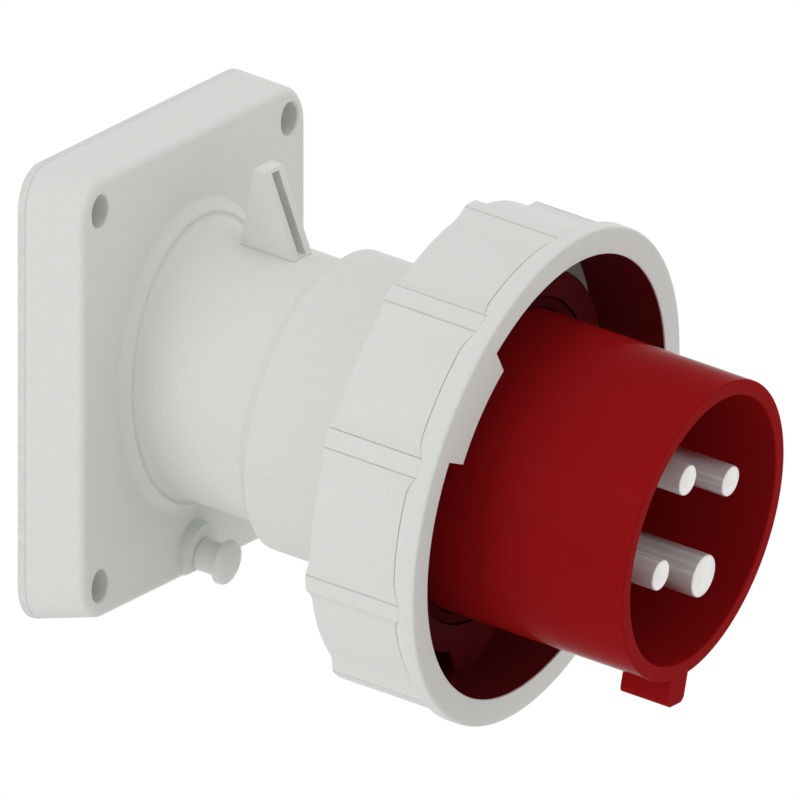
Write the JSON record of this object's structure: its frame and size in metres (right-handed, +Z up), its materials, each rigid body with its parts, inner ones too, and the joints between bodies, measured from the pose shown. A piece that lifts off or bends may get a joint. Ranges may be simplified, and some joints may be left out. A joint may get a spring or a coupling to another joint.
{
  "type": "angled appliance inlet",
  "caption": "Panel appliance inlet with a square flange, a neck tilted downwards, a turning bayonet ring and a keyed red shroud round its contact pins.",
  "frame": {"origin": "centre of the screw pattern in the mounting plane, the gasket's back face", "axes": "+Z up, +Y into the panel, the spout leaves towards -Y and dips by 10 degrees"},
  "size_m": [0.081, 0.1053, 0.0876],
  "materials": {
    "grey_housing": "fine satin texture",
    "grey_gasket": "matt",
    "grey_ring": "fine satin texture",
    "red_liner": "satin",
    "red_carrier": "smooth gloss",
    "black_rubber": "matt",
    "block_plastic": "satin",
    "plated_contact": "nickel plate",
    "zinc_screw": "zinc plate"
  },
  "bodies": {
    "inlet": {"housing": "grey_housing", "flange_gasket": "grey_gasket", "strap_peg": "grey_housing", "contact_carrier": "red_carrier", "face_seal": "black_rubber", "carrier_o_ring": "black_rubber", "pin_seal_mat": "black_rubber", "terminal_block": "block_plastic", "pin_l1": "plated_contact", "terminal_screw_l1": "zinc_screw", "pin_l2": "plated_contact", "terminal_screw_l2": "zinc_screw", "pin_l3": "plated_contact", "terminal_screw_l3": "zinc_screw", "pin_earth": "plated_contact", "terminal_screw_earth": "zinc_screw", "carrier_screw_top": "zinc_screw", "carrier_screw_bottom": "zinc_screw", "block_screw_left": "zinc_screw", "block_screw_right": "zinc_screw"},
    "ring": {"bayonet_ring": "grey_ring", "ring_liner": "red_liner"}
  },
  "joints": [
    {"name": "ring_turn", "type": "hinge", "parent": "inlet", "child": "ring", "pos_m": [0, -0.05552, -0.00821], "axis": [0, 0.9848, 0.1736], "range_deg": [-20, 25]}
  ]
}
